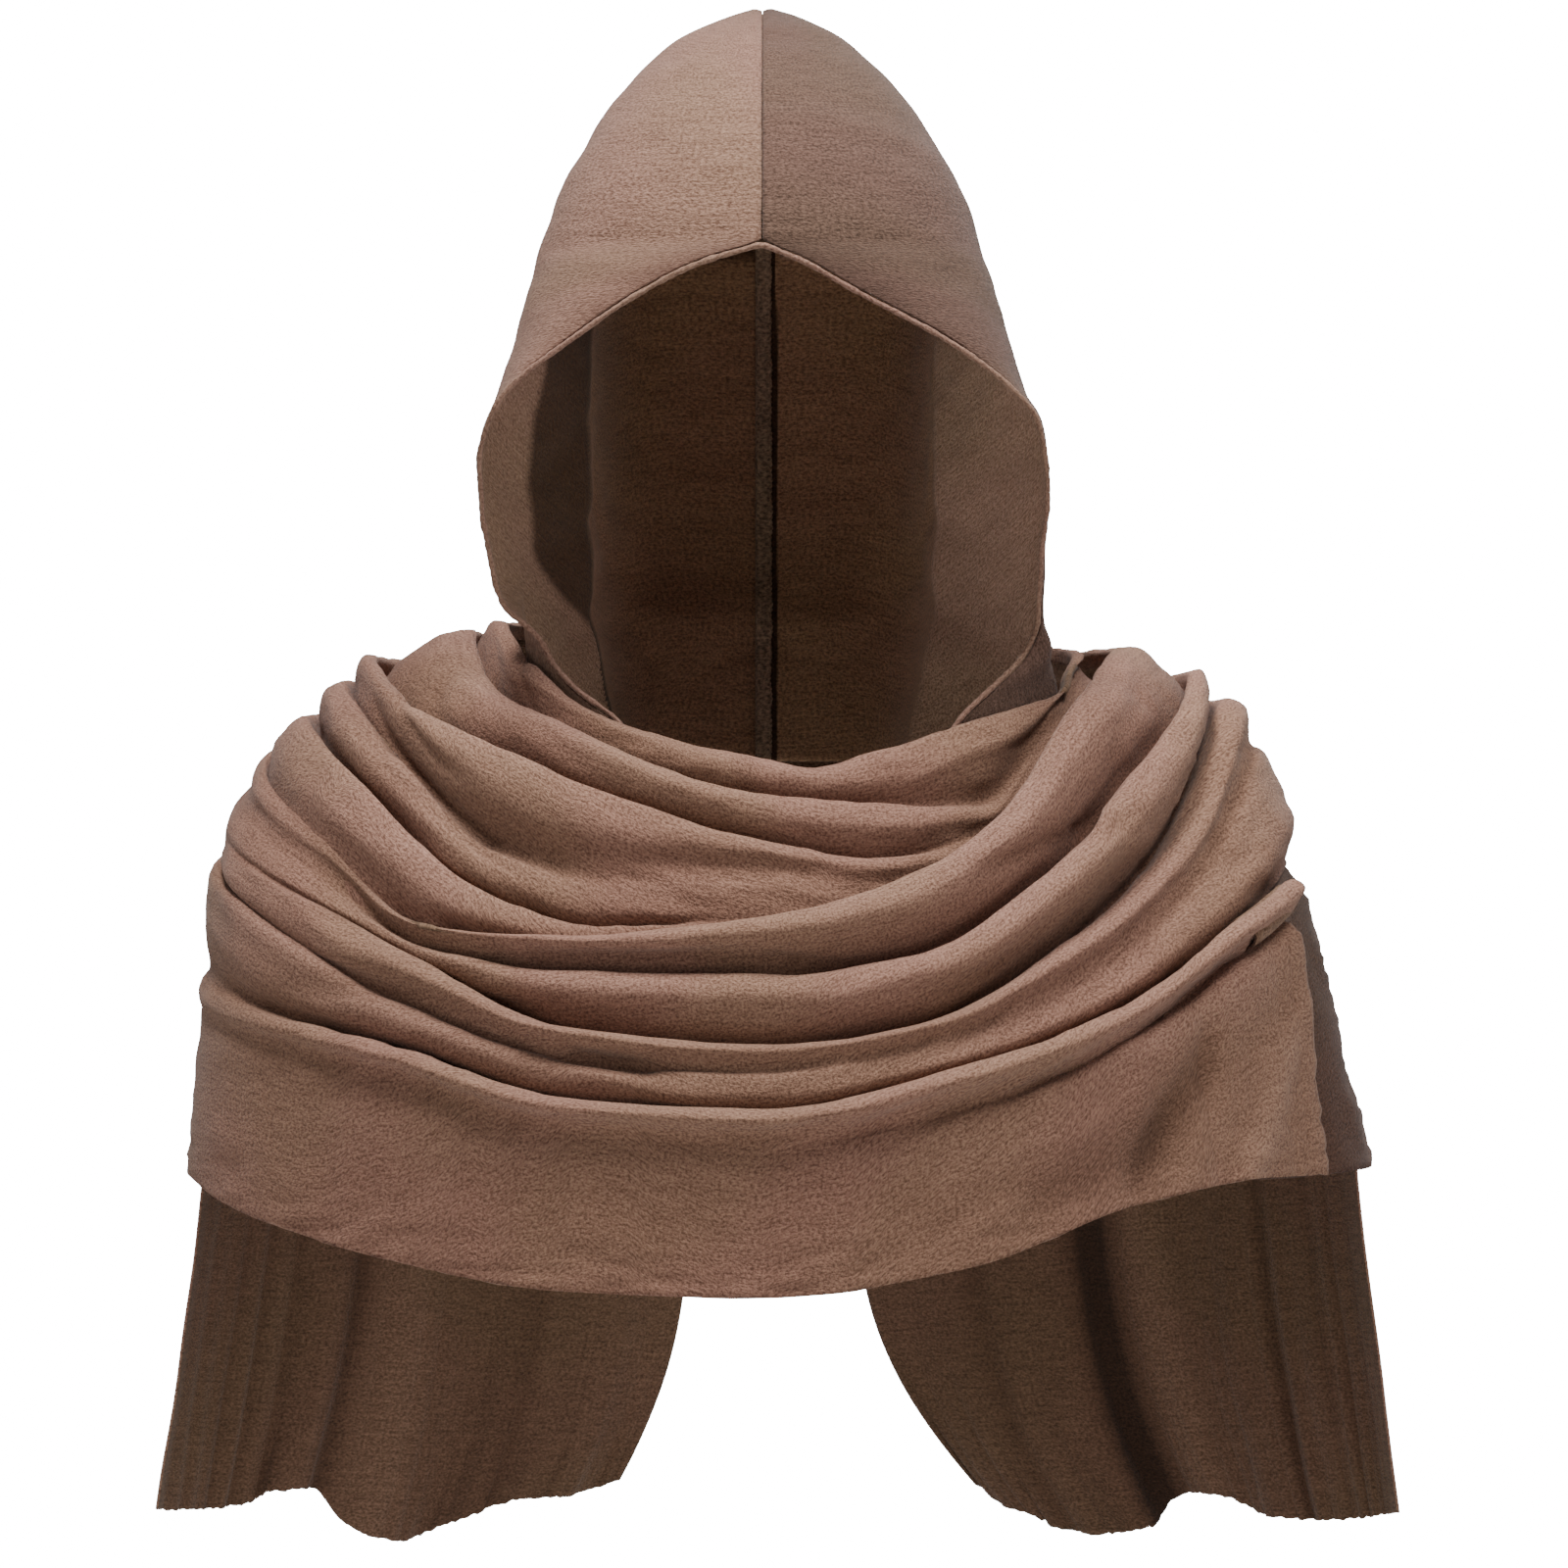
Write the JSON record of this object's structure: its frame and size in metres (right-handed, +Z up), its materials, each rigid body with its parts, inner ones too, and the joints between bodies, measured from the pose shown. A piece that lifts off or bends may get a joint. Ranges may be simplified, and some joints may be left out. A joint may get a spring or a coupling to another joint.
{
  "type": "medieval hood with a long scarf wrap",
  "caption": "Pointed two-panel hood with a scarf wound round neck and shoulders in cowl folds and two hanging ends, shown worn.",
  "frame": {"origin": "top of the wearer's head, inside the hood, where the cloth is held up", "axes": "+Z up, the open face towards -Y, +X towards the wearer's left"},
  "size_m": [0.5611, 0.3039, 0.693],
  "materials": {
    "crepe_cloth": "matt brown crepe weave",
    "cloth_reverse": "matt dark brown reverse of the crepe",
    "rolled_hem": "matt brown narrow rolled hem",
    "seam_allowance": "matt overlocked cloth edge"
  },
  "bodies": {
    "root": {"hood_right_panel": "crepe_cloth", "hood_left_panel": "crepe_cloth", "hood_centre_seam": "seam_allowance", "face_hem": "rolled_hem", "neck_wrap": "crepe_cloth", "chest_wrap": "crepe_cloth", "back_drape": "crepe_cloth", "tail_right": "cloth_reverse", "tail_left": "cloth_reverse"}
  },
  "joints": []
}
